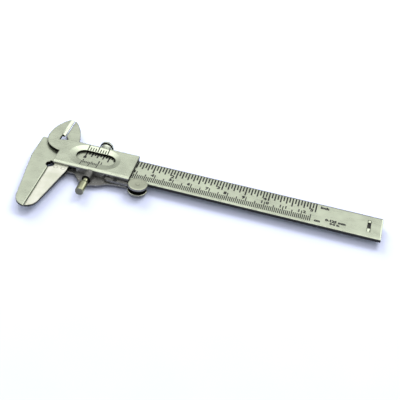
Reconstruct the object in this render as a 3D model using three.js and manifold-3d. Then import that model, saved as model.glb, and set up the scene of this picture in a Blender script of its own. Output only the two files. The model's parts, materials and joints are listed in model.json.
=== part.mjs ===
import * as THREE from "three";
import { mergeVertices } from "three/addons/utils/BufferGeometryUtils.js";
import Module from "manifold-3d";

const wasm = await Module();
wasm.setup();

// Vernier caliper, jaws closed. Millimetres.
// X runs along the beam from its zero mark, Y across the beam from its centreline,
// Z is up from the beam's front face. The finished group is moved to its own box at the end.

// Beam
const BEAM_END = 163.0;
const BEAM_HALF = 9.1;
const BEAM_THICK = 2.0;
const HEAD_LEFT = -27.1;
const HEAD_TOP = 10.4;
const JAW_FACE = -15.8;
const JAW_TIP = -49.9;
const BLADE_FOOT_LEFT = -13.4;
const BLADE_FOOT_RIGHT = -6.9;
const RELIEF = { x: -15.1, y: -12.1, r: 2.2 };
const GROOVE = { y: 1.2, width: 4.6, depth: 1.15 };
const SLOT = { left: 155.0, right: 156.7, low: -4.7, high: 5.1 };

// Slider
const GAP = 0.2;
const PLATE = { low: GAP, high: 1.9, left: -14.0, right: 28.0, bottom: -10.8, top: 10.6 };
const BACK = { low: -3.2, high: -BEAM_THICK - GAP };
const FLANGE = { left: -1.0, low: -2.05, inner: -9.35 };
const FOLD_RADIUS = 1.2;
const JAW_GAP = 0.3;
const JAW_RIGHT = -5.3;
const RAIL = { left: -6.5, inner: 9.5 };
const WINDOW_LIP = 1.25;
const WINDOW_INNER = { left: -4.6, right: 16.9, y: 0.85, r: 4.85 };
const WINDOW_OUTER = { left: -8.7, right: 19.8, y: 0.2, r: 9.4 };

// Screws, lever and button
const SCREW_Z = -0.75;
const STUD_R = 0.8;
const KNOB = { x: 8.2, foot: 10.75, shoulder: 12.0, groove: 13.3, rim: 13.8, top: 15.5, neck: 2.7, r: 3.8 };
const BRASS_X = 6.6;
const BRASS_Z = -0.6;
const BRASS_HEAD = { foot: -17.4, ring: -20.6, end: -28.4, neck: 1.5, r: 2.3 };
const BLOCK = { end: -17.2, r: 2.3 };
const FIT = 0.05;
const PIVOT = { x: 21.0, y: -12.3, r: 0.7, head: 1.1 };
const BUTTON = { x: 33.7, y: -13.4, r: 5.15, boss: 1.8, rivet: 0.8 };
const LEVER = { low: -1.9, high: -0.4 };
const NOTCH = { left: 14.5, right: 17.4 };
const RIVET_R = 1.0;
const JAW_RIVETS = [[-11.4, -13.4], [-7.4, -13.4]];
const ROD_RIVET_R = 0.8;
const ROD_RIVETS = [7.0, 11.0];

const STEEL = { color: 0xb9bcae, roughness: 0.34, metalness: 1.0 };
const DARK_STEEL = { color: 0x7d7f76, roughness: 0.5, metalness: 1.0 };
const SPRING_STEEL = { color: 0x6f7278, roughness: 0.4, metalness: 1.0 };
const BRASS = { color: 0xcdbb7c, roughness: 0.32, metalness: 1.0 };

// ---------- solids ----------

function toManifold(geometry) {
  const bare = geometry.clone();
  bare.deleteAttribute("normal");
  bare.deleteAttribute("uv");
  const merged = mergeVertices(bare, 1e-4);
  return new wasm.Manifold(new wasm.Mesh({
    numProp: 3,
    vertProperties: new Float32Array(merged.attributes.position.array),
    triVerts: new Uint32Array(merged.index.array),
  }));
}

function toGeometry(manifold) {
  const mesh = manifold.getMesh();
  const geometry = new THREE.BufferGeometry();
  geometry.setAttribute("position", new THREE.BufferAttribute(mesh.vertProperties, 3));
  geometry.setIndex(new THREE.BufferAttribute(mesh.triVerts, 1));
  const flat = geometry.toNonIndexed();
  flat.computeVertexNormals();
  return flat;
}

// A body with other bodies cut away from it.
function cut(body, tools) {
  const joined = tools.map(toManifold).reduce((all, one) => all.add(one));
  return toGeometry(toManifold(body).subtract(joined));
}

function join(first, second) {
  return toGeometry(toManifold(first).add(toManifold(second)));
}

function shapeOf(points) {
  return new THREE.Shape(points.map(([x, y]) => new THREE.Vector2(x, y)));
}

// A flat sheet with the outline seen from the front, between two heights.
function sheet(shape, low, high, curveSegments = 12) {
  const geometry = new THREE.ExtrudeGeometry(shape, {
    depth: high - low, bevelEnabled: false, curveSegments,
  });
  return geometry.translate(0, 0, low);
}

// A bar along X whose section is given as (y, z) points.
function barX(section, left, right) {
  const geometry = new THREE.ExtrudeGeometry(section, {
    depth: right - left, bevelEnabled: false, curveSegments: 8,
  });
  const turn = new THREE.Matrix4().makeBasis(
    new THREE.Vector3(0, 1, 0), new THREE.Vector3(0, 0, 1), new THREE.Vector3(1, 0, 0),
  );
  return geometry.applyMatrix4(turn).translate(left, 0, 0);
}

// A bar along Y whose section is given as (x, z) points.
function barY(section, low, high) {
  const geometry = new THREE.ExtrudeGeometry(section, { depth: high - low, bevelEnabled: false });
  return geometry.rotateX(Math.PI / 2).translate(0, high, 0);
}

function box(x0, x1, y0, y1, z0, z1) {
  return new THREE.BoxGeometry(x1 - x0, y1 - y0, z1 - z0)
    .translate((x0 + x1) / 2, (y0 + y1) / 2, (z0 + z1) / 2);
}

// An upright round hole or pin.
function postZ(x, y, r, low, high, sides = 32) {
  return new THREE.CylinderGeometry(r, r, high - low, sides)
    .rotateX(Math.PI / 2).translate(x, y, (low + high) / 2);
}

// A round hole or pin along Y.
function boreY(x, z, r, low, high) {
  return new THREE.CylinderGeometry(r, r, high - low, 32).translate(x, (low + high) / 2, z);
}

// A turned piece: profile of (radius, height) from axis to axis, standing along Z.
function turnedZ(profile, x, y, sides = 48) {
  const points = profile.map(([r, h]) => new THREE.Vector2(r, h));
  return new THREE.LatheGeometry(points, sides).rotateX(Math.PI / 2).translate(x, y, 0);
}

// The same along Y, heights measured along +Y.
function turnedY(profile, x, z, sides = 48) {
  const points = profile.map(([r, h]) => new THREE.Vector2(r, h));
  return new THREE.LatheGeometry(points, sides).translate(x, 0, z);
}

function named(name, geometry, look) {
  const mesh = new THREE.Mesh(geometry, new THREE.MeshStandardMaterial(look));
  mesh.name = name;
  return mesh;
}

// ---------- beam ----------

function beamOutline() {
  const shape = new THREE.Shape();
  shape.moveTo(BEAM_END, -BEAM_HALF);
  shape.lineTo(BEAM_END, BEAM_HALF);
  shape.lineTo(BLADE_FOOT_RIGHT, BEAM_HALF);
  shape.bezierCurveTo(-7.5, 18.0, -10.0, 25.6, -14.9, 31.0);
  shape.lineTo(JAW_FACE, 31.0);
  shape.lineTo(JAW_FACE, 16.0);
  shape.lineTo(BLADE_FOOT_LEFT, 12.6);
  shape.lineTo(BLADE_FOOT_LEFT, HEAD_TOP);
  shape.lineTo(HEAD_LEFT + 0.9, HEAD_TOP);
  shape.quadraticCurveTo(HEAD_LEFT, HEAD_TOP, HEAD_LEFT, HEAD_TOP - 0.9);
  shape.lineTo(HEAD_LEFT, -6.2);
  shape.quadraticCurveTo(HEAD_LEFT, -8.0, HEAD_LEFT + 0.3, -9.6);
  shape.lineTo(-22.1, -42.6);
  shape.bezierCurveTo(-21.5, -46.4, -19.4, -49.5, JAW_FACE, JAW_TIP);
  shape.lineTo(JAW_FACE, -BEAM_HALF);
  shape.closePath();
  return shape;
}

// Wedge that thins a jaw towards its tip from behind.
function jawTaper() {
  const section = shapeOf([[-20, -BEAM_THICK], [-55, -0.9], [-55, -4], [-20, -4]]);
  return barX(section, -30, 0);
}

// Bevel on an edge that runs along Y: from full height at xFlat down by drop at xEdge.
function edgeBevelY(xEdge, xFlat, drop, low, high, top = 0) {
  const away = Math.sign(xEdge - xFlat);
  const section = shapeOf([
    [xFlat, top], [xFlat, top + 1], [xEdge + away, top + 1], [xEdge + away, top - drop],
    [xEdge, top - drop],
  ]);
  return barY(section, low, high);
}

// Bevel along one long edge of the beam's front face.
function edgeBevelX(side, width, drop, left, right) {
  const edge = side * BEAM_HALF;
  const section = shapeOf([
    [edge - side * width, 0], [edge - side * width, 1], [edge + side, 1], [edge + side, -drop],
    [edge, -drop],
  ]);
  return barX(section, left, right);
}

function mainBeam() {
  const body = sheet(beamOutline(), -BEAM_THICK, 0, 14);
  const grooveTop = -BEAM_THICK + GROOVE.depth;
  const grooveLow = GROOVE.y - GROOVE.width / 2;
  const grooveHigh = GROOVE.y + GROOVE.width / 2;
  const geometry = cut(body, [
    postZ(RELIEF.x, RELIEF.y, RELIEF.r, -3, 1),
    box(2, BEAM_END + 1, grooveLow, grooveHigh, -3, grooveTop),
    box(SLOT.left, SLOT.right, SLOT.low, SLOT.high, -3, 1),
    edgeBevelX(-1, 0.3, 0.3, -12, BEAM_END + 1),
    edgeBevelX(1, 0.9, 0.22, BLADE_FOOT_RIGHT + 0.2, BEAM_END + 1),
    edgeBevelY(BEAM_END, BEAM_END - 1.0, 0.5, -10, 10),
    edgeBevelY(JAW_FACE, JAW_FACE - 0.6, 0.5, -52, -14),
    edgeBevelY(JAW_FACE, JAW_FACE + 0.35, 0.4, 13.7, 32),
    jawTaper(),
  ]);
  return named("main_beam", geometry, STEEL);
}

// Staple pushed through the end slot, its legs bent over a little. It closes the groove behind
// and stops the slider.
function endClip() {
  const bridge = [-BEAM_THICK - 0.75, -BEAM_THICK - 0.05];
  const section = shapeOf([
    [SLOT.low + 0.1, bridge[0]], [SLOT.high - 0.1, bridge[0]],
    [SLOT.high - 0.1, -0.1], [SLOT.high - 1.5, -0.5],
    [SLOT.high - 1.5, bridge[1]], [SLOT.low + 2.9, bridge[1]],
    [SLOT.low + 2.9, -0.15], [SLOT.low + 0.1, -0.85],
  ]);
  const geometry = barX(section, SLOT.left + 0.1, SLOT.right - 0.1);
  return named("end_clip", geometry, STEEL);
}

// ---------- slider ----------

function frontPlateOutline() {
  const shape = new THREE.Shape();
  shape.moveTo(PLATE.left, PLATE.bottom);
  shape.lineTo(PLATE.right, PLATE.bottom);
  shape.lineTo(PLATE.right, PLATE.top);
  shape.lineTo(-12.6, PLATE.top);
  shape.lineTo(-13.0, 10.0);
  shape.lineTo(-17.3, 8.8);
  shape.lineTo(-17.3, 14.2);
  shape.lineTo(JAW_FACE, 14.2);
  shape.lineTo(JAW_FACE, 30.6);
  shape.bezierCurveTo(-21.4, 26.6, -24.2, 18.4, -24.1, 11.4);
  shape.bezierCurveTo(-23.8, 4.6, -20.8, 0.8, PLATE.left, -0.9);
  shape.closePath();
  return shape;
}

// Ring of points round a slot with round ends, at one height.
function slotRing(slot, z, perEnd = 20) {
  const ring = [];
  for (const [centre, start] of [[slot.right - slot.r, -Math.PI / 2], [slot.left + slot.r, Math.PI / 2]]) {
    for (let i = 0; i <= perEnd; i += 1) {
      const angle = start + (Math.PI * i) / perEnd;
      ring.push([centre + slot.r * Math.cos(angle), slot.y + slot.r * Math.sin(angle), z]);
    }
  }
  return ring;
}

// A closed body through rings of equal point count, lowest ring first.
function loft(rings) {
  const count = rings[0].length;
  const positions = rings.flat(2);
  const index = [];
  for (let k = 0; k + 1 < rings.length; k += 1) {
    for (let i = 0; i < count; i += 1) {
      const a = k * count + i;
      const b = k * count + ((i + 1) % count);
      index.push(a, b, b + count, a, b + count, a + count);
    }
  }
  const last = (rings.length - 1) * count;
  for (let i = 1; i + 1 < count; i += 1) {
    index.push(0, i + 1, i);
    index.push(last, last + i, last + i + 1);
  }
  const geometry = new THREE.BufferGeometry();
  geometry.setAttribute("position", new THREE.Float32BufferAttribute(positions, 3));
  geometry.setIndex(index);
  return geometry;
}

// Dished viewing window: a straight opening below the lip, flaring up to the front face.
function windowTool() {
  const flare = (PLATE.high - WINDOW_LIP + 0.5) / (PLATE.high - WINDOW_LIP);
  const beyond = {
    left: WINDOW_INNER.left + (WINDOW_OUTER.left - WINDOW_INNER.left) * flare,
    right: WINDOW_INNER.right + (WINDOW_OUTER.right - WINDOW_INNER.right) * flare,
    y: WINDOW_INNER.y + (WINDOW_OUTER.y - WINDOW_INNER.y) * flare,
    r: WINDOW_INNER.r + (WINDOW_OUTER.r - WINDOW_INNER.r) * flare,
  };
  return loft([
    slotRing(WINDOW_INNER, -0.5),
    slotRing(WINDOW_INNER, WINDOW_LIP),
    slotRing(beyond, PLATE.high + 0.5),
  ]);
}

// What a rounded fold takes off the square corner between front face and lower wall.
function foldTool() {
  const y = PLATE.bottom + FOLD_RADIUS;
  const z = PLATE.high - FOLD_RADIUS;
  const section = new THREE.Shape();
  section.moveTo(PLATE.bottom, z);
  section.absarc(y, z, FOLD_RADIUS, Math.PI, Math.PI / 2, true);
  section.lineTo(y, PLATE.high + 1);
  section.lineTo(PLATE.bottom - 1, PLATE.high + 1);
  section.lineTo(PLATE.bottom - 1, z);
  section.closePath();
  return barX(section, PLATE.left - 1, PLATE.right + 1);
}

function frontPlate() {
  const plate = sheet(frontPlateOutline(), PLATE.low, PLATE.high, 14);
  const flange = box(FLANGE.left, PLATE.right, PLATE.bottom, FLANGE.inner, FLANGE.low, 1);
  const geometry = cut(join(plate, flange), [
    windowTool(),
    foldTool(),
    edgeBevelY(JAW_FACE, JAW_FACE - 1.6, 1.2, 14, 32, PLATE.high),
    box(NOTCH.left, NOTCH.right, -12, FLANGE.inner + 0.2, -3, 0),
    boreY(BRASS_X, BRASS_Z, STUD_R + FIT, -12, -9),
  ]);
  return named("front_plate", geometry, STEEL);
}

// Plate behind the beam. Its lower edge waves out into the thumb rest.
function backPlate() {
  const shape = new THREE.Shape();
  shape.moveTo(PLATE.left + 0.2, PLATE.top);
  shape.lineTo(PLATE.right, PLATE.top);
  shape.lineTo(PLATE.right, -13.2);
  shape.bezierCurveTo(25.0, -13.6, 22.0, -13.4, 19.2, -14.1);
  shape.bezierCurveTo(17.2, -14.6, 16.2, -15.2, 14.8, -16.4);
  shape.bezierCurveTo(12.8, -18.2, 10.8, -18.0, 8.6, -19.0);
  shape.bezierCurveTo(6.0, -20.0, 3.6, -18.4, 2.3, -17.2);
  shape.bezierCurveTo(0.6, -15.6, -0.4, -12.4, -2.5, -12.2);
  shape.lineTo(-5.2, -12.2);
  shape.lineTo(-5.2, -15.6);
  shape.lineTo(PLATE.left + 0.2, -15.6);
  shape.closePath();
  const holes = [postZ(PIVOT.x, PIVOT.y, PIVOT.r + FIT, -5, 0)];
  JAW_RIVETS.forEach(([x, y]) => holes.push(postZ(x, y, RIVET_R + FIT, -5, 0)));
  ROD_RIVETS.forEach((x) => holes.push(postZ(x, GROOVE.y, ROD_RIVET_R + FIT, -5, 0)));
  return named("back_plate", cut(sheet(shape, BACK.low, BACK.high, 10), holes), DARK_STEEL);
}

// Moving outside jaw, in the beam's own plane, hung below its lower edge.
function slidingJaw() {
  const face = JAW_FACE + JAW_GAP;
  const shape = new THREE.Shape();
  shape.moveTo(face, JAW_TIP + 0.2);
  shape.bezierCurveTo(-13.2, -49.5, -11.2, -47.9, -10.2, -44.5);
  shape.lineTo(-5.9, -18.0);
  shape.quadraticCurveTo(JAW_RIGHT, -15.4, JAW_RIGHT, -14.4);
  shape.lineTo(JAW_RIGHT, FLANGE.inner);
  shape.lineTo(-13.6, FLANGE.inner);
  shape.lineTo(-13.6, -10.5);
  shape.lineTo(face, -14.2);
  shape.closePath();
  const tools = [
    postZ(RELIEF.x, RELIEF.y, RELIEF.r, -3, 1),
    edgeBevelY(face, face + 0.6, 0.5, -52, -13.9),
    jawTaper(),
  ];
  JAW_RIVETS.forEach(([x, y]) => tools.push(postZ(x, y, RIVET_R + FIT, -5, 1)));
  return named("sliding_jaw", cut(sheet(shape, -BEAM_THICK, 0), tools), STEEL);
}

function jawRivet(name, [x, y]) {
  return named(name, postZ(x, y, RIVET_R, BACK.low, -0.02), STEEL);
}

// Bar that closes the channel along the top edge. The clamp screw is threaded through it.
function topRail() {
  const bar = box(RAIL.left, PLATE.right, RAIL.inner, PLATE.top, FLANGE.low, PLATE.low - 0.1);
  return named("top_rail", cut(bar, [boreY(KNOB.x, SCREW_Z, STUD_R + FIT, 9, 12)]), STEEL);
}

// Bowed leaf that keeps the slider tight on the beam's top edge.
function gibSpring() {
  const shape = new THREE.Shape();
  shape.moveTo(-4.5, 9.22);
  shape.quadraticCurveTo(10.75, 9.04, 26.0, 9.22);
  shape.lineTo(26.0, 9.42);
  shape.quadraticCurveTo(10.75, 9.24, -4.5, 9.42);
  shape.closePath();
  return named("gib_spring", sheet(shape, -1.8, -0.2, 8), SPRING_STEEL);
}

// Flat rod that runs out of the beam's end as the jaws open.
function depthRod() {
  const half = GROOVE.width / 2 - 0.3;
  const bar = box(4.5, BEAM_END - 0.2, GROOVE.y - half, GROOVE.y + half, -1.85, -1.0);
  const holes = ROD_RIVETS.map((x) => postZ(x, GROOVE.y, ROD_RIVET_R + FIT, -3, 0));
  return named("depth_rod", cut(bar, holes), STEEL);
}

function rodRivet(name, x) {
  return named(name, postZ(x, GROOVE.y, ROD_RIVET_R, BACK.low, -1.05, 24), STEEL);
}

// ---------- clamp screws ----------

function clampStud() {
  return named("clamp_stud", boreY(KNOB.x, SCREW_Z, STUD_R, 9.5, KNOB.shoulder + 0.3), STEEL);
}

function clampKnob() {
  const { foot, shoulder, groove, rim, top, neck, r } = KNOB;
  const inner = STUD_R + FIT;
  const geometry = turnedY([
    [0, shoulder + 0.4], [inner, shoulder + 0.4], [inner, foot], [neck, foot], [neck, shoulder],
    [neck + 0.6, groove - 0.1], [neck + 0.6, groove], [neck, groove + 0.1], [neck, rim],
    [r - 0.1, rim], [r, rim + 0.15], [r, top - 0.3], [r - 0.3, top], [0, top],
  ], KNOB.x, SCREW_Z);
  return named("clamp_knob", geometry, STEEL);
}

// Round-topped block below the lower wall that gives the brass screw its thread.
function screwBlock() {
  const section = new THREE.Shape();
  section.moveTo(BRASS_X - BLOCK.r, -2.1);
  section.lineTo(BRASS_X + BLOCK.r, -2.1);
  section.absarc(BRASS_X, BRASS_Z, BLOCK.r, 0, Math.PI, false);
  section.closePath();
  const bore = boreY(BRASS_X, BRASS_Z, STUD_R + FIT, -18, -10);
  return named("screw_block", cut(barY(section, BLOCK.end, -10.9), [bore]), DARK_STEEL);
}

function brassStud() {
  const geometry = boreY(BRASS_X, BRASS_Z, STUD_R, BRASS_HEAD.ring + 0.6, -9.3);
  return named("brass_stud", geometry, BRASS);
}

// Thick neck, a grooved ring, then the round head.
function brassHead() {
  const { foot, ring, end, neck, r } = BRASS_HEAD;
  const inner = STUD_R + FIT;
  const geometry = turnedY([
    [0, end], [r - 0.25, end], [r, end + 0.3], [r, ring - 0.6], [r - 0.3, ring - 0.2],
    [neck - 0.15, ring - 0.1], [neck - 0.15, ring + 0.2], [neck + 0.15, ring + 0.4],
    [neck + 0.15, ring + 0.9], [neck, ring + 1.1], [neck, foot], [inner, foot],
    [inner, ring + 0.4], [0, ring + 0.4],
  ], BRASS_X, BRASS_Z, 40);
  return named("brass_head", geometry, BRASS);
}

// ---------- thumb lever ----------

// The nose on the left reaches up through the lower wall and brakes on the beam's edge.
function thumbLever() {
  const shape = new THREE.Shape();
  shape.moveTo(15.2, -9.3);
  shape.lineTo(15.2, -12.4);
  shape.quadraticCurveTo(15.4, -13.2, 17.0, -13.4);
  shape.lineTo(28.4, -13.2);
  shape.lineTo(BUTTON.x - 1.0, BUTTON.y - 1.4);
  shape.absarc(BUTTON.x, BUTTON.y, 2.1, -Math.PI * 0.6, Math.PI * 0.6, false);
  shape.lineTo(28.4, -12.1);
  shape.lineTo(22.6, -11.3);
  shape.lineTo(20.8, -11.05);
  shape.lineTo(16.8, -11.05);
  shape.lineTo(16.8, -9.3);
  shape.closePath();
  const geometry = cut(sheet(shape, LEVER.low, LEVER.high), [
    postZ(PIVOT.x, PIVOT.y, PIVOT.r + FIT, -3, 1),
    postZ(BUTTON.x, BUTTON.y, BUTTON.rivet + FIT, -3, 1, 24),
  ]);
  return named("thumb_lever", geometry, DARK_STEEL);
}

function leverPivotPin() {
  const { x, y, r, head } = PIVOT;
  const geometry = turnedZ([
    [0, BACK.low - 0.4], [head - 0.1, BACK.low - 0.4], [head, BACK.low - FIT],
    [r, BACK.low - FIT], [r, LEVER.high + FIT], [head, LEVER.high + FIT],
    [head - 0.2, LEVER.high + 0.4], [0, LEVER.high + 0.4],
  ], x, y, 32);
  return named("lever_pivot_pin", geometry, STEEL);
}

// Leaf between the lower wall and the lever's right arm.
function leverSpring() {
  const shape = shapeOf([
    [23.0, -10.9], [24.4, -10.9], [27.6, -11.65], [27.6, -11.8], [24.4, -11.05],
    [23.0, -11.05],
  ]);
  return named("lever_spring", sheet(shape, -1.7, -0.6), SPRING_STEEL);
}

// Thumb disc with a boss that stands against the lever.
function buttonDisc(name, face, back, bossEnd) {
  const bore = BUTTON.rivet + FIT;
  const rim = 0.15 * Math.sign(face - back);
  const profile = [
    [bore, bossEnd], [BUTTON.boss, bossEnd], [BUTTON.boss, back], [BUTTON.r - 0.15, back],
    [BUTTON.r, back + rim], [BUTTON.r, face - rim], [BUTTON.r - 0.15, face], [bore, face],
    [bore, bossEnd],
  ];
  if (face < back) {
    profile.reverse();
  }
  return named(name, turnedZ(profile, BUTTON.x, BUTTON.y, 56), STEEL);
}

function buttonRivet() {
  const { rivet } = BUTTON;
  const geometry = turnedZ([
    [0, -3.45], [1.2, -3.45], [1.2, -3.3], [rivet, -3.3], [rivet, 1.8], [1.2, 1.8],
    [1.0, 1.95], [0, 1.95],
  ], BUTTON.x, BUTTON.y, 32);
  return named("button_rivet", geometry, STEEL);
}

// ---------- assembly ----------

const caliper = new THREE.Group();
caliper.name = "caliper";
caliper.add(
  mainBeam(),
  endClip(),
  frontPlate(),
  backPlate(),
  slidingJaw(),
  jawRivet("jaw_rivet_left", JAW_RIVETS[0]),
  jawRivet("jaw_rivet_right", JAW_RIVETS[1]),
  topRail(),
  gibSpring(),
  screwBlock(),
  depthRod(),
  rodRivet("rod_rivet_left", ROD_RIVETS[0]),
  rodRivet("rod_rivet_right", ROD_RIVETS[1]),
  leverPivotPin(),
  leverSpring(),
  clampStud(),
  clampKnob(),
  brassStud(),
  brassHead(),
  thumbLever(),
  buttonDisc("button_front_disc", 1.75, 0.25, -0.35),
  buttonDisc("button_rear_disc", -3.25, -2.15, -1.95),
  buttonRivet(),
);

// The finished part stands on the middle of its own footprint.
const bounds = new THREE.Box3().setFromObject(caliper);
const middle = bounds.getCenter(new THREE.Vector3());
caliper.position.set(-middle.x, -middle.y, -bounds.min.z);

const group = new THREE.Group();
group.name = "vernier_caliper";
group.add(caliper);

export default group;
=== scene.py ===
import json
import math

import bmesh
import bpy
from mathutils import Matrix, Vector
from mathutils.bvhtree import BVHTree

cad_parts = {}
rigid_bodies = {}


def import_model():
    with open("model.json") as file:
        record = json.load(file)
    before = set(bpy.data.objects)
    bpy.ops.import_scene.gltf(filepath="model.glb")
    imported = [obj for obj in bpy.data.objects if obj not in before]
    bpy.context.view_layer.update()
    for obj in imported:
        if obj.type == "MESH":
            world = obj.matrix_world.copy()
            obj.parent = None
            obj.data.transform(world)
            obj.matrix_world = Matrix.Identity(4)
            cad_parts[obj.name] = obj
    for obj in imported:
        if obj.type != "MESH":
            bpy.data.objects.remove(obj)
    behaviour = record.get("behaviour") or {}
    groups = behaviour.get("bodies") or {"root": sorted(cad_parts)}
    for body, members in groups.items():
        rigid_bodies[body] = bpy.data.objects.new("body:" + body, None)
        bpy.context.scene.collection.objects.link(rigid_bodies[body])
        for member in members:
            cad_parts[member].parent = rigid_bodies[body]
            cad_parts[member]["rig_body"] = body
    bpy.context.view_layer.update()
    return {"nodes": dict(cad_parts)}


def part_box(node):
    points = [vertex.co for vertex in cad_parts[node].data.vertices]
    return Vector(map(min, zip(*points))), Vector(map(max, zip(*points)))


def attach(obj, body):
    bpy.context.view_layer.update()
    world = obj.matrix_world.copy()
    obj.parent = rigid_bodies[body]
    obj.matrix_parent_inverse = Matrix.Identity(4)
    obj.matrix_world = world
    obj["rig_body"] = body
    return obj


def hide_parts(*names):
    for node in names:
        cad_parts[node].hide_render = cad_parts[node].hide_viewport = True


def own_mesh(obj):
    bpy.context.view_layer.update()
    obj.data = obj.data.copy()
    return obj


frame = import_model()

# Vernier caliper. The caliper's own coordinates are in millimetres: x along the beam from its
# zero mark, y across it from its centreline, z up from its front face. at() turns them into metres
# in the row frame.
MM = 0.001
BEAM_END = 163.0
JAW_TIP = 49.9
beam_low, beam_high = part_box("main_beam")
ORIGIN = Vector((beam_high.x - BEAM_END * MM, beam_low.y + JAW_TIP * MM, beam_high.z))


def at(x, y, z=0.0):
    return ORIGIN + Vector((x, y, z)) * MM


# A height above every piece, and the distances under which two vertices are one: in the pieces
# made here and in the CAD's shapes
ABOVE_ALL = 20.0
SAME_POINT = 0.0005 * MM
SAME_CAD_POINT = 0.001 * MM

# Angles between faces: flat enough to merge, sharp enough to break, and the band in which a long
# edge is kept as a crease
FLAT = math.radians(0.4)
SHARP = math.radians(28)
CREASE = (math.radians(6), math.radians(27))
CREASE_LENGTH = 0.4 * MM
TURNED_SHARP = math.radians(24)

# Marks stand this far out of the metal and reach this far into it
MARK_HEIGHT = 0.015
MARK_DEPTH = 0.03

# Front scale: both rows of marks and the figures between them. The tops say where a mark ends when
# its number divides by the key.
MM_MARKS = 125
MM_FOOT = -7.4
MM_TOPS = {1: -3.4, 5: -1.7, 10: -0.4}
MM_ZERO_TOP = -1.1
MM_WIDTH = 0.54
INCH = 25.4
INCH_PARTS = 16
INCH_MARKS = 5 * INCH_PARTS
INCH_FOOT = 8.1
INCH_TOPS = {1: 3.9, 2: 2.3, 4: 2.3, 8: 0.9}
INCH_WIDTH = 0.76

# Figures: height, line and distance from their mark
CM_FIGURE = 2.2
CM_FIGURE_Y = -1.2
FIGURE_SHIFT = 1.5
INCH_FIGURE = 2.4
INCH_FIGURE_Y = 1.9
INCH_FIGURE_SHIFT = 1.9
FONT_SIZE_PER_HEIGHT = 1.38
# Half the lettering's thickness, and how far its middle lies below the face
LETTER_HALF = 0.02
LETTER_SINK = 0.005

# Vernier scales on the window's rims: count of parts, distance between marks, where a mark starts
# and where a long and a short one end, every how many marks is long, their width, and in how many
# pieces a mark is laid so that it follows the dished rim
INCH_VERNIER = {"parts": 8, "step": 11.1125 / 8, "foot": 5.95, "long": 10.2, "short": 8.4,
                "every": 4, "width": 0.56, "pieces": 8}
MM_VERNIER = {"parts": 10, "step": 0.9, "foot": -4.35, "long": -8.6, "short": -6.2,
              "every": 5, "width": 0.42, "pieces": 6}

# Turned parts
SCREW_Z = -0.75
STUD_R = 0.8
THREAD_PITCH = 0.5
THREAD_DEPTH = 0.14
KNOB_X = 8.2
# How many ribs, how deep, and the band they lie in
KNOB_RIBS = (36, 0.14, 14.05, 15.15)
BRASS_X = 6.6
BRASS_Z = -0.6
BUTTON = (33.7, -13.4)
BUTTON_R = 5.15
BORE_R = 0.85
JAW_RIVET_R = 1.0

# Where a piece's colour changes to painted shade (on the lower wall partly its own dark skin): the
# front plate's lower wall, the beam's top bevel, the end clip's
#  bridge, the knob's groove, the ring groove in the brass head
FLANGE_LEFT = -1.2
FLANGE_INNER = -9.3
TOP_BEVEL = 8.1
CLIP_BEND = -1.2
KNOB_GROOVE = (13.25, 13.95)
BRASS_GROOVE = (-21.2, -20.15)


# ---------- node materials ----------

def new_material(name):
    material = bpy.data.materials.new(name)
    material.use_nodes = True
    material.node_tree.nodes.clear()
    return material, material.node_tree


def add(tree, kind, sockets=None, **settings):
    node = tree.nodes.new(kind)
    for key, value in settings.items():
        setattr(node, key, value)
    for key, value in (sockets or {}).items():
        if isinstance(value, bpy.types.NodeSocket):
            tree.links.new(value, node.inputs[key])
        else:
            node.inputs[key].default_value = value
    return node


def maths(tree, operation, first, second):
    return add(tree, "ShaderNodeMath", {0: first, 1: second}, operation=operation).outputs[0]


def mix(tree, factor, first, second):
    node = add(tree, "ShaderNodeMix", data_type="RGBA")
    for socket, value in ((0, factor), (6, first), (7, second)):
        if isinstance(value, bpy.types.NodeSocket):
            tree.links.new(value, node.inputs[socket])
        elif socket:
            node.inputs[socket].default_value = (*value, 1)
        else:
            node.inputs[socket].default_value = value
    return node.outputs[2]


def span(tree, value, low, high, to_low, to_high):
    node = add(tree, "ShaderNodeMapRange", {
        "Value": value, "From Min": low, "From Max": high, "To Min": to_low, "To Max": to_high,
    })
    return node.outputs[0]


def noise(tree, place, scale, detail=3.0, stretch=None):
    vector = place
    if stretch:
        vector = add(tree, "ShaderNodeMapping", {"Vector": place, "Scale": stretch}).outputs[0]
    node = add(tree, "ShaderNodeTexNoise", {"Vector": vector, "Scale": scale, "Detail": detail})
    return node.outputs["Fac"]


def edge_mask(tree, radius):
    """1 on edges, 0 on open faces. metal() lightens these edges as wear where its edge_tone is
    above 1 and darkens them as painted shade where it is below.
    """
    rounded = add(tree, "ShaderNodeBevel", {"Radius": radius * MM}, samples=4)
    plain = add(tree, "ShaderNodeNewGeometry")
    agree = add(tree, "ShaderNodeVectorMath", {
        0: rounded.outputs[0], 1: plain.outputs["Normal"],
    }, operation="DOT_PRODUCT")
    return span(tree, agree.outputs["Value"], 0.998, 0.93, 0.0, 1.0)


def crevice_mask(tree, reach):
    """1 in corners and gaps, 0 in the open."""
    shade = add(tree, "ShaderNodeAmbientOcclusion", {"Distance": reach * MM}, samples=6)
    return span(tree, shade.outputs["AO"], 0.35, 0.95, 1.0, 0.0)


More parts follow.
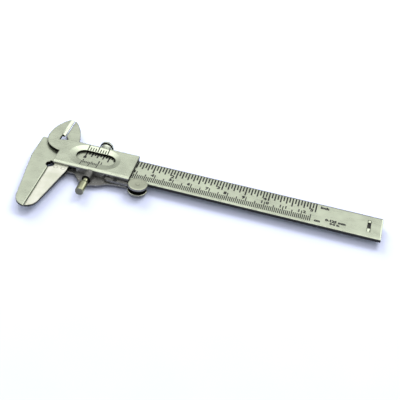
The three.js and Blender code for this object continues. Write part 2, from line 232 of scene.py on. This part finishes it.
def metal(name, colour, roughness, stretch, corner_shade=0.35, edge_wear_and_shade=0.5, grain_depth=0.006, blotch=0.10,
          edge_tone=1.22, flecks=0.0):
    """Ground metal: brushed lines, blotches, edges worn lighter where edge_tone is above 1 and
    painted darker as shade where it is below, corners and gaps painted darker as shade and, on
    rough skins, small bright flecks."""
    material, tree = new_material(name)
    place = add(tree, "ShaderNodeTexCoord").outputs["Object"]
    clouds = noise(tree, place, 140.0, 4.0)
    lines = noise(tree, place, 2600.0, 4.0, stretch)
    speckle = noise(tree, place, 2600.0, 2.0)
    # Edge colour: lighter as wear where edge_tone is above 1; below 1 a painted dark outline,
    # standing in for the shade the edges mirror
    edges = maths(tree, "MULTIPLY", edge_mask(tree, 0.22 if edge_tone > 1 else 0.75),
                  span(tree, noise(tree, place, 500.0, 3.0), 0.35, 0.65, 0.3, 1.0))
    corners = crevice_mask(tree, 1.6)

    dark = [c * (1 - blotch) for c in colour]
    light = [min(1.0, c * (1 + blotch * 0.6)) for c in colour]
    tone = mix(tree, span(tree, clouds, 0.3, 0.7, 0.0, 1.0), dark, light)
    lined = [c * 0.92 for c in colour]
    tone = mix(tree, span(tree, lines, 0.55, 0.8, 0.0, 0.35), tone, lined)
    wear_and_shade_edge = [min(1.0, c * edge_tone) for c in colour]
    tone = mix(tree, maths(tree, "MULTIPLY", edges, edge_wear_and_shade), tone, wear_and_shade_edge)
    if flecks:
        spots = span(tree, noise(tree, place, 1100.0, 2.0), 0.58, 0.72, 0.0, flecks)
        tone = mix(tree, spots, tone, [min(1.0, c * 3.0) for c in colour])
    # Painted shade: corners and gaps, found by the AO mask, darkened towards a quarter of the
    # colour
    shade_tone = [c * 0.28 for c in colour]
    tone = mix(tree, maths(tree, "MULTIPLY", corners, corner_shade), tone, shade_tone)

    rough = maths(tree, "ADD", span(tree, lines, 0.25, 0.75, roughness - 0.05, roughness + 0.08),
                  span(tree, clouds, 0.3, 0.7, -0.02, 0.04))
    rough = maths(tree, "ADD", rough, maths(tree, "MULTIPLY", corners, 0.15))
    height = maths(tree, "ADD", lines, maths(tree, "MULTIPLY", speckle, 0.5))
    bump = add(tree, "ShaderNodeBump", {
        "Height": height, "Strength": 0.35, "Distance": grain_depth * MM,
    })
    shader = add(tree, "ShaderNodeBsdfPrincipled", {
        "Base Color": tone, "Metallic": 1.0, "Roughness": rough, "Normal": bump.outputs[0],
    })
    out = add(tree, "ShaderNodeOutputMaterial")
    tree.links.new(shader.outputs[0], out.inputs[0])
    return material


def ink(name, colour):
    """Black filling in the engraved marks, a little uneven."""
    material, tree = new_material(name)
    place = add(tree, "ShaderNodeTexCoord").outputs["Object"]
    clouds = noise(tree, place, 700.0, 3.0)
    fade = [min(1.0, c * 2.0) for c in colour]
    tone = mix(tree, span(tree, clouds, 0.4, 0.75, 0.0, 0.8), colour, fade)
    rough = span(tree, clouds, 0.3, 0.7, 0.45, 0.7)
    bump = add(tree, "ShaderNodeBump", {
        "Height": clouds, "Strength": 0.3, "Distance": 0.01 * MM,
    })
    shader = add(tree, "ShaderNodeBsdfPrincipled", {
        "Base Color": tone, "Roughness": rough, "Normal": bump.outputs[0],
        "Specular IOR Level": 0.15,
    })
    out = add(tree, "ShaderNodeOutputMaterial")
    tree.links.new(shader.outputs[0], out.inputs[0])
    return material


ALONG_X = (0.03, 1.0, 1.0)
ALONG_Y = (1.0, 0.03, 1.0)
ROUND = (1.0, 1.0, 1.0)
STEEL = (0.69, 0.75, 0.59)

# Beam, front plate and jaw: edge_tone below 1 paints a dark outline on their edges as shade; the
# beam's corner_shade paints a dark band under the front plate's lip
beam_steel = metal("beam_steel", STEEL, 0.28, ALONG_X, corner_shade=0.85, edge_wear_and_shade=1.0, edge_tone=0.25)
plate_steel = metal("plate_steel", STEEL, 0.25, ALONG_X, edge_wear_and_shade=1.0, edge_tone=0.3)
jaw_steel = metal("jaw_steel", (0.97, 1.0, 0.82), 0.42, ALONG_Y, blotch=0.16, edge_wear_and_shade=1.0,
                  edge_tone=0.3)
# Turned steel and discs: corner_shade paints their grooves and corners dark as shade
turned_steel = metal("turned_steel", (0.60, 0.64, 0.54), 0.22, ROUND, corner_shade=1.0)
disc_steel = metal("disc_steel", (0.50, 0.53, 0.41), 0.30, ROUND, corner_shade=0.5, blotch=0.05)
# Dark steel: the back plate's and the flange's own dark rough skin, darkened further as painted
# shade; on the beam's top bevel and the discs' walls it is painted shade only
dark_and_shaded_steel = metal("dark_and_shaded_steel", (0.22, 0.22, 0.21), 0.46, ALONG_Y, corner_shade=0.1, grain_depth=0.03,
                   edge_wear_and_shade=0.0, flecks=0.6)
# Near-black steel: painted shade on side walls that mirror the shadowed floor, and on the lever's
# pivot pin
shaded_wall_steel = metal("shaded_wall_steel", (0.04, 0.04, 0.04), 0.42, ALONG_X, grain_depth=0.02, edge_wear_and_shade=0.4)
clip_steel = metal("clip_steel", STEEL, 0.26, ALONG_X)
spring_steel = metal("spring_steel", (0.42, 0.43, 0.45), 0.36, ALONG_X)
# Brass: corner_shade 1.0 paints its grooves and corners dark as shade
brass = metal("brass", (0.46, 0.48, 0.31), 0.16, ROUND, corner_shade=1.0)
# Painted shade: the dark brass of the head's end face, which is turned away from the light
shaded_brass_end = metal("shaded_brass_end", (0.17, 0.17, 0.13), 0.40, ROUND, corner_shade=0.2)
# Dark depth rod: partly its own blackened finish, partly painted shade so that the end slot reads
# black
dark_and_shaded_rod_steel = metal("dark_and_shaded_rod_steel", (0.08, 0.083, 0.075), 0.35, ALONG_X, corner_shade=1.0)
# Dark lever and screw block: darkened as painted shade, so that their tops show no highlight under
# the slider
dark_and_shaded_lever_steel = metal("dark_and_shaded_lever_steel", (0.17, 0.17, 0.16), 0.46, ALONG_X, corner_shade=0.1, grain_depth=0.03,
                    edge_wear_and_shade=0.0, flecks=0.6)
# Near black: painted shadow on the window's lip wall, the end clip's bridge, the screw block's
# front, the knob's groove, the brass groove and the discs' inner faces
painted_shadow_steel = metal("painted_shadow_steel", (0.012, 0.012, 0.011), 0.5, ROUND, edge_wear_and_shade=0.5)
black_ink = ink("black_ink", (0.012, 0.012, 0.012))


# ---------- mesh helpers ----------

def place_piece(name, mesh, body, material):
    """Links a mesh as a piece that rides on a CAD body."""
    piece = bpy.data.objects.new(name, mesh)
    bpy.context.scene.collection.objects.link(piece)
    mesh.materials.clear()
    mesh.materials.append(material)
    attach(piece, body)
    return piece


def is_upright(edge):
    along = edge.verts[1].co - edge.verts[0].co
    return abs(along.z) > 0.99 * along.length


def dressed(node, material, rounding=0.16, segments=2):
    """The CAD node's own shape with its sharp edges broken."""
    mesh = frame["nodes"][node].data.copy()
    if "custom_normal" in mesh.attributes:
        mesh.attributes.remove(mesh.attributes["custom_normal"])
    bm = bmesh.new()
    bm.from_mesh(mesh)
    bmesh.ops.remove_doubles(bm, verts=bm.verts, dist=SAME_CAD_POINT)
    bmesh.ops.dissolve_limit(bm, angle_limit=FLAT, verts=bm.verts, edges=bm.edges)
    corners = [e for e in bm.edges if e.is_convex and e.calc_face_angle(0.0) > SHARP]
    bmesh.ops.bevel(bm, geom=corners, offset=rounding * MM, offset_type="OFFSET",
                    segments=segments, profile=0.5, affect="EDGES", clamp_overlap=False)
    bmesh.ops.recalc_face_normals(bm, faces=bm.faces)
    for face in bm.faces:
        face.smooth = True
    for edge in bm.edges:
        crease = CREASE[0] < edge.calc_face_angle(0.0) < CREASE[1]
        edge.smooth = not (crease and not is_upright(edge) and edge.calc_length() > CREASE_LENGTH)
    bm.to_mesh(mesh)
    bm.free()
    body = frame["nodes"][node]["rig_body"]
    piece = place_piece(node + "_finished", mesh, body, material)
    weighted = piece.modifiers.new("even_faces", "WEIGHTED_NORMAL")
    weighted.keep_sharp = True
    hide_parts(node)
    return piece


def refinish(piece, material, chosen):
    """Gives another material, mostly a painted shade, to the faces for which chosen(centre, normal)
    holds. The centre is in caliper millimetres."""
    mesh = piece.data
    mesh.materials.append(material)
    index = len(mesh.materials) - 1
    for face in mesh.polygons:
        if chosen((face.center - ORIGIN) / MM, face.normal):
            face.material_index = index


def is_wall(centre, normal):
    return abs(normal.z) < 0.45


def is_flange(centre, normal):
    """The lower wall of the front plate, below the fold."""
    return centre.x > FLANGE_LEFT and centre.y < FLANGE_INNER and normal.z < 0.4


def turned(name, profile, centre, axis, node, material, sides=72, ribs=None):
    """A turned piece. profile holds (radius, distance along the axis) pairs, from axis to axis or
    round a closed loop. ribs = (count, depth, low, high) cuts straight ribs in the band between two
    distances."""
    bm = bmesh.new()
    rings = []
    for radius, along in profile:
        if radius == 0:
            rings.append([bm.verts.new(turned_point(centre, axis, 0, 0, along))])
            continue
        ring = []
        for i in range(sides):
            r = radius
            if ribs and ribs[2] <= along <= ribs[3]:
                step = i % (sides // ribs[0])
                r -= ribs[1] if step in (0, 1) else 0
            ring.append(bm.verts.new(turned_point(centre, axis, r, 2 * math.pi * i / sides, along)))
        rings.append(ring)
    for low, high in zip(rings, rings[1:]):
        for i in range(sides):
            j = (i + 1) % sides
            if len(low) == 1:
                bm.faces.new((low[0], high[i], high[j]))
            elif len(high) == 1:
                bm.faces.new((low[i], high[0], low[j]))
            else:
                bm.faces.new((low[i], high[i], high[j], low[j]))
    bmesh.ops.remove_doubles(bm, verts=bm.verts, dist=SAME_POINT)
    bmesh.ops.recalc_face_normals(bm, faces=bm.faces)
    mesh = bpy.data.meshes.new(name)
    for face in bm.faces:
        face.smooth = True
    bm.to_mesh(mesh)
    bm.free()
    mesh.set_sharp_from_angle(angle=TURNED_SHARP)
    piece = place_piece(name, mesh, frame["nodes"][node]["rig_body"], material)
    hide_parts(node)
    return piece


def turned_point(centre, axis, radius, angle, along):
    across, up = radius * math.cos(angle), radius * math.sin(angle)
    if axis == "Y":
        return at(centre[0] + across, along, centre[1] + up)
    return at(centre[0] + across, centre[1] + up, along)


def threaded(name, node, centre, low, high, material):
    """A stud with a screw thread along Y."""
    sides, per_turn = 24, 4
    rows = int((high - low) / THREAD_PITCH * per_turn)
    bm = bmesh.new()
    rings = []
    for k in range(rows + 1):
        along = low + (high - low) * k / rows
        ring = []
        for i in range(sides):
            turn = i / sides
            wave = abs((((along / THREAD_PITCH) + turn) % 1.0) * 2 - 1)
            radius = STUD_R - THREAD_DEPTH * (1 - wave) - 0.01
            ring.append(bm.verts.new(turned_point(centre, "Y", radius, 2 * math.pi * turn, along)))
        rings.append(ring)
    for lower, upper in zip(rings, rings[1:]):
        for i in range(sides):
            j = (i + 1) % sides
            bm.faces.new((lower[i], upper[i], upper[j], lower[j]))
    bm.faces.new(rings[0])
    bm.faces.new(rings[-1])
    bmesh.ops.recalc_face_normals(bm, faces=bm.faces)
    mesh = bpy.data.meshes.new(name)
    bm.to_mesh(mesh)
    bm.free()
    piece = place_piece(name, mesh, frame["nodes"][node]["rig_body"], material)
    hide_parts(node)
    return piece


# ---------- marks and figures ----------

def surface_of(piece):
    """A function that gives the height of the piece's front at a point, in caliper millimetres."""
    bm = bmesh.new()
    bm.from_mesh(piece.data)
    tree = BVHTree.FromBMesh(bm)
    bm.free()

    def height(x, y):
        hit = tree.ray_cast(at(x, y, ABOVE_ALL), Vector((0, 0, -1)))[0]
        return (hit.z - ORIGIN.z) / MM
    return height


def add_stroke(bm, x, y0, y1, width, height, steps=1):
    """A thin closed strip that lies on the surface, from y0 to y1."""
    rings = []
    for k in range(steps + 1):
        y = y0 + (y1 - y0) * k / steps
        ring = []
        for lift, sides in ((MARK_HEIGHT, (-1, 1)), (-MARK_DEPTH, (1, -1))):
            for side in sides:
                px = x + side * width / 2
                ring.append(bm.verts.new(at(px, y, height(px, y) + lift)))
        rings.append(ring)
    for low, high in zip(rings, rings[1:]):
        for i in range(4):
            j = (i + 1) % 4
            bm.faces.new((low[i], low[j], high[j], high[i]))
    bm.faces.new(rings[0])
    bm.faces.new(rings[-1])


def finish_marks(name, bm, body):
    bmesh.ops.recalc_face_normals(bm, faces=bm.faces)
    mesh = bpy.data.meshes.new(name)
    bm.to_mesh(mesh)
    bm.free()
    return place_piece(name, mesh, body, black_ink)


def longest(position, tops):
    """The end of the longest mark that falls on this position."""
    return [top for step, top in tops.items() if position % step == 0][-1]


def flat_face(x, y):
    return 0.0


def beam_marks():
    bm = bmesh.new()
    for i in range(MM_MARKS + 1):
        top = longest(i, MM_TOPS) if i else MM_ZERO_TOP
        add_stroke(bm, i, MM_FOOT, top, MM_WIDTH, flat_face)
    for i in range(INCH_MARKS + 1):
        top = longest(i, INCH_TOPS)
        add_stroke(bm, i * INCH / INCH_PARTS, INCH_FOOT, top, INCH_WIDTH, flat_face)
    finish_marks("beam_marks", bm, "beam")


def add_text(bm, words, x, y, size, weight=0.19):
    """Flat raised lettering on the beam's face, centred on a point."""
    curve = bpy.data.curves.new("lettering", "FONT")
    curve.body = words
    curve.size = size * FONT_SIZE_PER_HEIGHT
    curve.align_x = "CENTER"
    curve.align_y = "CENTER"
    curve.extrude = LETTER_HALF
    curve.offset = weight
    curve.resolution_u = 2
    holder = bpy.data.objects.new("lettering", curve)
    bpy.context.scene.collection.objects.link(holder)
    bpy.context.view_layer.update()
    mesh = bpy.data.meshes.new_from_object(holder.evaluated_get(
        bpy.context.evaluated_depsgraph_get()))
    mesh.transform(Matrix.Translation(at(x, y, -LETTER_SINK)) @ Matrix.Scale(MM, 4))
    bm.from_mesh(mesh)
    bpy.data.objects.remove(holder)
    bpy.data.curves.remove(curve)
    bpy.data.meshes.remove(mesh)


def beam_figures():
    bm = bmesh.new()
    add_text(bm, "0", 0.0, 0.9, CM_FIGURE)
    for n in range(1, 13):
        digits = str(n)
        add_text(bm, digits[0], n * 10 - FIGURE_SHIFT, CM_FIGURE_Y, CM_FIGURE)
        if n >= 10:
            add_text(bm, digits[1], n * 10 + FIGURE_SHIFT, CM_FIGURE_Y, CM_FIGURE)
    for n in range(1, 6):
        add_text(bm, str(n), n * INCH - INCH_FIGURE_SHIFT, INCH_FIGURE_Y, INCH_FIGURE)
    add_text(bm, "inch", 131.6, 6.0, 2.0)
    add_text(bm, "cm", 128.9, -5.9, 1.9)
    add_text(bm, "0-125 mm", 138.4, -3.6, 1.9)
    add_text(bm, "0-5 in", 138.2, -5.9, 1.6, 0.15)
    bmesh.ops.remove_doubles(bm, verts=bm.verts, dist=SAME_POINT)
    finish_marks("beam_figures", bm, "beam")


def vernier_marks(plate):
    height = surface_of(plate)
    bm = bmesh.new()
    for scale in (INCH_VERNIER, MM_VERNIER):
        for i in range(scale["parts"] + 1):
            end = scale["short"] if i % scale["every"] else scale["long"]
            add_stroke(bm, i * scale["step"], scale["foot"], end, scale["width"], height,
                       scale["pieces"])
    finish_marks("vernier_marks", bm, "slider")


# ---------- parts ----------

def build_plates():
    """The flat pieces and springs, in the CAD's own shapes. Returns the front plate."""
    beam = dressed("main_beam", beam_steel, 0.12)
    clip = dressed("end_clip", clip_steel, 0.12)
    jaw = dressed("sliding_jaw", jaw_steel, 0.14)
    plate = dressed("front_plate", plate_steel, 0.16)
    # Painted shade: the beam's and jaw's side walls near black, the beam's top bevel dark, the
    # front plate's window walls black, its lower wall dark (partly its own rough skin), and the end
    # clip's bridge and steep faces black
    refinish(beam, shaded_wall_steel, is_wall)
    refinish(beam, dark_and_shaded_steel,
             lambda centre, normal: centre.y > TOP_BEVEL and normal.y > 0.1 and normal.z > 0.9)
    refinish(jaw, shaded_wall_steel, is_wall)
    refinish(plate, painted_shadow_steel,
             lambda centre, normal: is_wall(centre, normal) and centre.y > FLANGE_INNER)
    refinish(plate, dark_and_shaded_steel, is_flange)
    refinish(clip, painted_shadow_steel, lambda centre, normal: centre.z < CLIP_BEND or normal.z < 0.6)
    dressed("back_plate", dark_and_shaded_steel, 0.14)
    dressed("top_rail", plate_steel, 0.12)
    block = dressed("screw_block", dark_and_shaded_lever_steel, 0.14)
    # Painted shadow: the screw block's faces towards -Y made black
    refinish(block, painted_shadow_steel, lambda centre, normal: normal.y < -0.3)
    dressed("depth_rod", dark_and_shaded_rod_steel, 0.1)
    dressed("thumb_lever", dark_and_shaded_lever_steel, 0.04, 1)
    dressed("gib_spring", spring_steel, 0.04, 1)
    spring = dressed("lever_spring", spring_steel, 0.04, 1)
    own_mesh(spring)
    return plate


def build_rivets():
    """The jaw rivets fill the broken edge of their holes, the others and the lever's pin are
    plain."""
    for node in ("jaw_rivet_left", "jaw_rivet_right"):
        low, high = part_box(node)
        centre = ((low + high) / 2 - ORIGIN) / MM
        bottom, top = ((end.z - ORIGIN.z) / MM for end in (low, high))
        profile = [
            (0, bottom), (JAW_RIVET_R, bottom), (JAW_RIVET_R, top - 0.25),
            (JAW_RIVET_R + 0.17, top - 0.03), (JAW_RIVET_R + 0.15, top), (0, top),
        ]
        turned(node + "_swaged", profile, (centre.x, centre.y), "Z", node,
               jaw_steel, sides=48)
    for node in ("rod_rivet_left", "rod_rivet_right", "button_rivet"):
        dressed(node, disc_steel, 0.1)
    # Painted shade: the pivot pin in near-black steel
    dressed("lever_pivot_pin", shaded_wall_steel, 0.1)


def build_screws():
    """Threaded studs and their turned heads. Profiles run from the bored foot to the closed end for
    the knob, and from the closed end to the bored foot for the brass head."""
    threaded("clamp_stud_thread", "clamp_stud", (KNOB_X, SCREW_Z), 9.5, 12.3,
             turned_steel)
    threaded("brass_stud_thread", "brass_stud", (BRASS_X, BRASS_Z), -20.0, -9.3, brass)
    profile = [
        (0, 12.4), (BORE_R, 12.4), (BORE_R, 10.77), (2.55, 10.77), (2.68, 10.9), (2.7, 11.75),
        (2.85, 11.9), (2.98, 12.0), (3.28, 13.05), (3.26, 13.2), (3.0, 13.3), (2.72, 13.4),
        (2.66, 13.55), (2.72, 13.72), (3.4, 13.8), (3.68, 13.85), (3.78, 13.98), (3.8, 14.1),
        (3.8, 15.1), (3.76, 15.25), (3.5, 15.44), (3.3, 15.48), (1.5, 15.48), (0, 15.5),
    ]
    knob = turned("clamp_knob_turned", profile, (KNOB_X, SCREW_Z), "Y", "clamp_knob",
                  turned_steel, sides=144, ribs=KNOB_RIBS)
    # Painted shadow: the knob's groove and the rim's face towards -Y made black
    refinish(knob, painted_shadow_steel, lambda centre, normal: KNOB_GROOVE[0] < centre.y < KNOB_GROOVE[1])
    profile = [
        (0, -28.38), (1.9, -28.38), (2.12, -28.32), (2.27, -28.15), (2.3, -27.9), (2.3, -21.6),
        (2.26, -21.35), (2.1, -21.12), (1.85, -20.98), (1.2, -20.92), (1.12, -20.6),
        (1.2, -20.3), (1.5, -20.2), (1.62, -20.1), (1.65, -19.8), (1.6, -19.65), (1.5, -19.5),
        (1.5, -17.6), (1.4, -17.44), (BORE_R, -17.42), (BORE_R, -20.2), (0, -20.2),
    ]
    head = turned("brass_head_turned", profile, (BRASS_X, BRASS_Z), "Y", "brass_head",
                  brass)
    # Painted shade: the head's end face made dark and its ring groove black
    refinish(head, shaded_brass_end, lambda centre, normal: normal.y < -0.9)
    refinish(head, painted_shadow_steel, lambda centre, normal: BRASS_GROOVE[0] < centre.y < BRASS_GROOVE[1])


# Thumb discs: the heights of the outer face, the inner face and the boss against the lever
DISCS = (("front", 1.75, 0.25, -0.35), ("rear", -3.25, -2.15, -1.95))


def build_button():
    """Two discs with a bored boss. Each has its walls darkened and its inner face made black, both
    as painted shade.
    """
    for name, face, back, boss in DISCS:
        out = 1 if face > back else -1
        profile = [
            (BORE_R, boss), (1.8, boss), (1.8, back), (BUTTON_R - 0.3, back),
            (BUTTON_R - 0.06, back + 0.12 * out), (BUTTON_R, back + 0.28 * out),
            (BUTTON_R, face - 0.3 * out), (BUTTON_R - 0.1, face - 0.12 * out),
            (BUTTON_R - 0.35, face - 0.02 * out), (BUTTON_R - 0.6, face), (3.0, face - 0.05 * out),
            (1.2, face - 0.08 * out), (BORE_R, face - 0.08 * out), (BORE_R, boss),
        ]
        disc = turned("button_" + name + "_turned", profile, BUTTON, "Z",
                      "button_" + name + "_disc", disc_steel, sides=96)
        # Painted shade: the disc walls dark and the inner face black
        refinish(disc, dark_and_shaded_steel, is_wall)
        refinish(disc, painted_shadow_steel, lambda centre, normal: out * normal.z < -0.92)


# ---------- floor, light, camera ----------

FLOOR_HALF = 3.0


def build_floor():
    bm = bmesh.new()
    bmesh.ops.create_grid(bm, x_segments=1, y_segments=1, size=FLOOR_HALF)
    mesh = bpy.data.meshes.new("floor")
    bm.to_mesh(mesh)
    bm.free()
    floor = bpy.data.objects.new("floor", mesh)
    bpy.context.scene.collection.objects.link(floor)
    material, tree = new_material("pale_floor")
    place = add(tree, "ShaderNodeTexCoord").outputs["Object"]
    clouds = noise(tree, place, 40.0, 2.0)
    tone = mix(tree, clouds, (0.455, 0.488, 0.625), (0.475, 0.509, 0.65))
    shader = add(tree, "ShaderNodeBsdfPrincipled", {"Base Color": tone, "Roughness": 0.85})
    out = add(tree, "ShaderNodeOutputMaterial")
    tree.links.new(shader.outputs[0], out.inputs[0])
    mesh.materials.append(material)


# Rise above the horizon in degrees, and how bright the dome is there
SKY = ((0.0, 0.08), (12.0, 0.22), (24.0, 0.56), (37.6, 0.56), (48.0, 1.1), (57.0, 2.2), (66.0, 1.6),
       (78.0, 0.7))
SKY_PEAK = 2.5
# In front, the share of that brightness that is left and the least it falls to
FRONT_SHARE = 0.8
FRONT_LEVEL = 1.1
# Soft glows in the dome: turn from +Y towards +X and rise in degrees, brightness, narrowness
GLOWS = ((-11.0, 37.6, 0.2, 110.0), (32.0, 23.0, 1.6, 30.0))


def build_sky():
    """A dome with a bright band high up, an even light in front and soft glows, for the metal to
    mirror."""
    world = bpy.data.worlds.new("studio")
    world.use_nodes = True
    bpy.context.scene.world = world
    tree = world.node_tree
    tree.nodes.clear()
    way = add(tree, "ShaderNodeTexCoord").outputs["Generated"]
    parts = add(tree, "ShaderNodeSeparateXYZ", {0: way})
    ramp = add(tree, "ShaderNodeValToRGB", {"Fac": parts.outputs["Z"]})
    stops = ramp.color_ramp.elements
    while len(stops) < len(SKY):
        stops.new(0.5)
    for stop, (rise, level) in zip(stops, SKY):
        stop.position = math.sin(math.radians(rise))
        stop.color = (level / SKY_PEAK,) * 3 + (1,)
    depth = parts.outputs["Y"]
    level = maths(tree, "MULTIPLY", ramp.outputs[0], SKY_PEAK)
    level = maths(tree, "MULTIPLY", level, span(tree, depth, -0.6, 0.3, FRONT_SHARE, 1.0))
    level = maths(tree, "MAXIMUM", level, span(tree, depth, -0.7, 0.0, FRONT_LEVEL, 0.0))
    for turn, rise, peak, narrow in GLOWS:
        turn, rise = math.radians(turn), math.radians(rise)
        glow = (math.sin(turn) * math.cos(rise), math.cos(turn) * math.cos(rise), math.sin(rise))
        near = add(tree, "ShaderNodeVectorMath", {0: way, 1: glow}, operation="DOT_PRODUCT")
        lobe = maths(tree, "POWER", maths(tree, "MAXIMUM", near.outputs["Value"], 0.0), narrow)
        level = maths(tree, "ADD", level, maths(tree, "MULTIPLY", lobe, peak))
    shader = add(tree, "ShaderNodeBackground", {"Color": (1.0, 1.0, 1.0, 1.0), "Strength": level})
    out = add(tree, "ShaderNodeOutputWorld")
    tree.links.new(shader.outputs[0], out.inputs[0])


LAMP_SIZE = 1.0


def build_lamp(name, place, power):
    """A large round lamp behind the caliper that throws its soft shadow forward. The metal mirrors
    the dome only, not the lamp."""
    data = bpy.data.lights.new(name, "AREA")
    data.shape = "DISK"
    data.size = LAMP_SIZE
    data.energy = power
    lamp = bpy.data.objects.new(name, data)
    bpy.context.scene.collection.objects.link(lamp)
    lamp.location = place
    lamp.visible_glossy = False
    lamp.visible_camera = False
    lamp.rotation_mode = "QUATERNION"
    lamp.rotation_quaternion = (-Vector(place)).to_track_quat("-Z", "Y")


# What the camera looks at, its turn, rise and roll, its distance in metres and its lens
AIM = at(67.4, -12.1)
TURN, RISE, ROLL = (math.radians(a) for a in (8.18, 37.64, 8.57))
DISTANCE = 0.530
LENS, SENSOR = 91.35, 36.0


def build_camera():
    data = bpy.data.cameras.new("camera")
    data.sensor_width = SENSOR
    data.lens = LENS
    data.clip_start, data.clip_end = 0.01, 20.0
    camera = bpy.data.objects.new("camera", data)
    bpy.context.scene.collection.objects.link(camera)
    out = math.cos(RISE)
    back = Vector((math.sin(TURN) * out, -math.cos(TURN) * out, math.sin(RISE)))
    side = Vector((0, 0, 1)).cross(back).normalized()
    up = back.cross(side)
    right = side * math.cos(ROLL) + up * math.sin(ROLL)
    top = up * math.cos(ROLL) - side * math.sin(ROLL)
    turn = Matrix((right, top, back)).transposed().to_4x4()
    camera.matrix_world = Matrix.Translation(AIM + back * DISTANCE) @ turn
    bpy.context.scene.camera = camera


front_plate = build_plates()
build_rivets()
build_screws()
build_button()
beam_marks()
beam_figures()
vernier_marks(front_plate)
build_floor()
build_sky()
build_lamp("high_lamp", (0.35, 1.2, 1.1), 28.0)
build_lamp("low_lamp", (-0.75, 1.05, 0.6), 33.0)
build_camera()
bpy.context.scene.view_settings.view_transform = "Standard"
